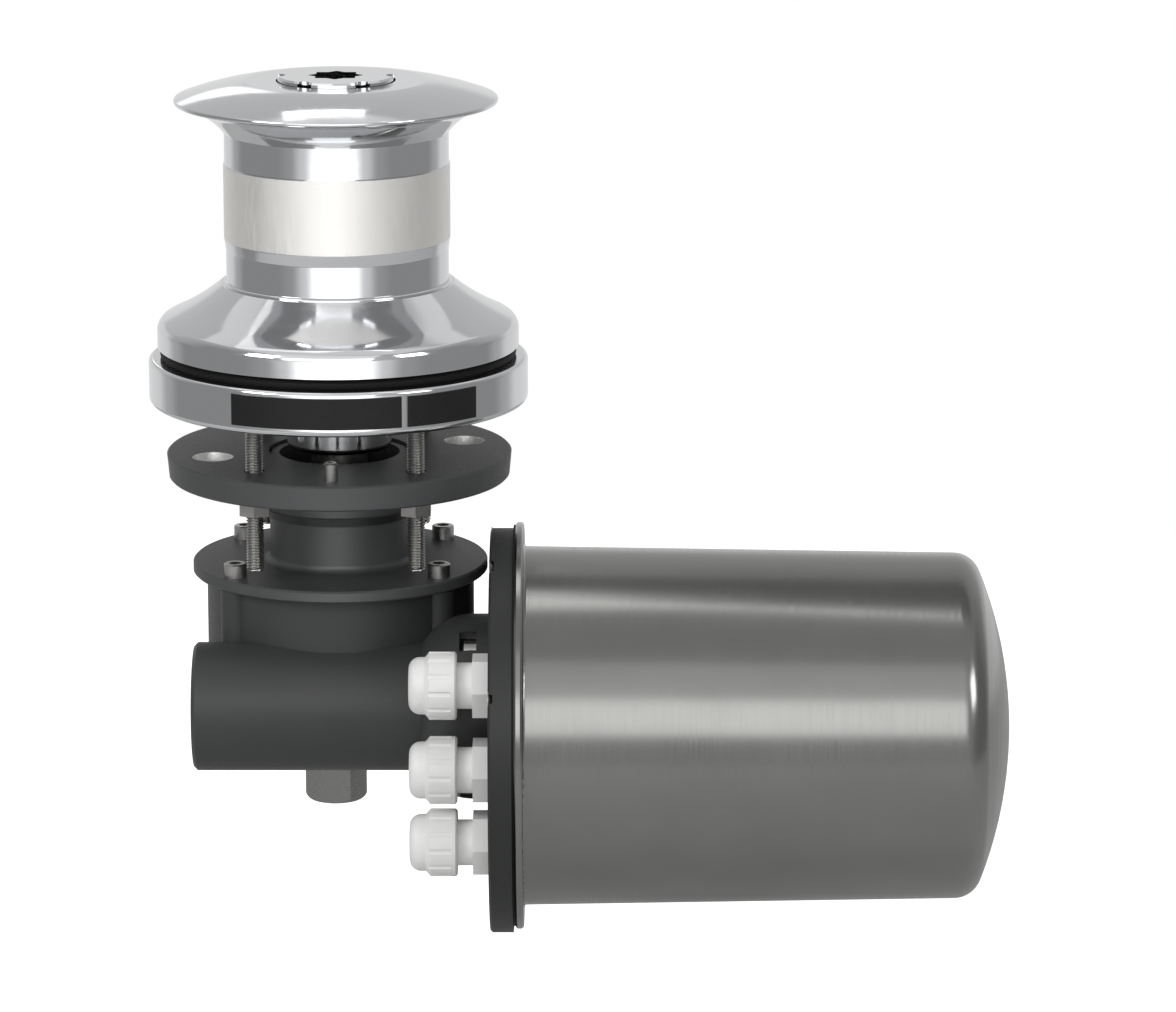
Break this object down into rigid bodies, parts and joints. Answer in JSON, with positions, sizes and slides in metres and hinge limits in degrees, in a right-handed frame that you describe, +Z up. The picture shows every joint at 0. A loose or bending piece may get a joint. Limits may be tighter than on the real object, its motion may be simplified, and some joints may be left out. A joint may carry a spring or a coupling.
{
  "type": "deck capstan",
  "caption": "Electric deck capstan: a waisted chrome rope drum on a round deck base, clamped through the deck over a worm gearbox and a motor in a steel can.",
  "frame": {"origin": "on the drum axis, at the underside of the deck base, which is the top of the deck", "axes": "+Z up along the drum axis, +X from the drum axis towards the motor, -Y the side that the worm runs on"},
  "size_m": [0.3809, 0.232, 0.3719],
  "materials": {
    "polished_chrome": "bright chrome plate over bronze, polished",
    "bronze": "machined bronze",
    "steel": "zinc plated or ground steel",
    "stainless": "brushed stainless steel",
    "black_casting": "black coated cast metal, fine texture",
    "cast_aluminium": "as cast",
    "black_rubber": "moulded rubber",
    "white_nylon": "moulded light grey nylon",
    "black_plate": "thin black plate, bare",
    "ferrite": "sintered ferrite",
    "copper": "enamelled copper wire and drawn copper",
    "carbon": "pressed carbon",
    "relay_plastic": "moulded phenolic"
  },
  "bodies": {
    "frame": {"deck_base": "polished_chrome", "shaft_bush": "bronze", "thrust_washer": "bronze", "neck_retaining_ring": "steel", "lock_screw": "steel", "clamp_studs": "steel", "clamp_washers": "steel", "clamp_nuts": "steel", "cover_bolts": "steel", "main_bearing_outer_rings": "steel", "main_bearing_balls": "steel", "worm_bearing_outer_rings": "steel", "worm_bearing_balls": "steel", "motor_bearing_outer_rings": "steel", "motor_bearing_balls": "steel", "can_screws": "steel", "bell_bolts": "steel", "motor_tie_bolts": "steel", "plug_washer": "steel", "worm_end_plug": "steel", "motor_yoke": "steel", "motor_can": "stainless", "bottom_plug": "stainless", "clamp_flange": "black_casting", "gearbox_cover": "black_casting", "gear_housing": "black_casting", "motor_plate": "black_casting", "motor_front_bell": "cast_aluminium", "motor_rear_bell": "cast_aluminium", "shaft_lip_seals": "black_rubber", "drum_seal_ring": "black_rubber", "cover_gasket": "black_rubber", "plate_gasket": "black_rubber", "worm_oil_seal": "black_rubber", "gland_seals": "black_rubber", "gland_bodies": "white_nylon", "gland_caps": "white_nylon", "gland_locknuts": "white_nylon", "name_plates": "black_plate", "field_magnets": "ferrite", "carbon_brushes": "carbon", "motor_relay": "relay_plastic"},
    "drum_train": {"rope_drum": "polished_chrome", "lower_clutch_cone": "bronze", "upper_clutch_cone": "bronze", "clutch_disc_spring": "steel", "main_shaft": "steel", "shaft_keys": "steel", "wheel_circlip": "steel", "worm_wheel": "bronze", "main_bearing_inner_rings": "steel"},
    "rotor": {"worm_shaft": "steel", "worm_bearing_inner_rings": "steel", "shaft_coupling": "steel", "motor_shaft": "steel", "motor_bearing_inner_rings": "steel", "armature_core": "steel", "armature_windings": "copper", "commutator": "copper"},
    "clutch_nut": {"clutch_nut": "polished_chrome"}
  },
  "joints": [
    {"name": "motor_spin", "type": "hinge", "parent": "frame", "child": "rotor", "pos_m": [0.1, -0.05, -0.1288], "axis": [1, 0, 0], "continuous": true},
    {"name": "drum_spin", "type": "hinge", "parent": "frame", "child": "drum_train", "pos_m": [0, 0, 0], "axis": [0, 0, 1], "continuous": true},
    {"name": "clutch_nut_turn", "type": "hinge", "parent": "drum_train", "child": "clutch_nut", "pos_m": [0, 0, 0.1452], "axis": [0, 0, 1], "range_deg": [0, 90]}
  ],
  "couplings": [
    {"joint": "drum_spin", "follows": "motor_spin", "ratio": -0.03125}
  ]
}
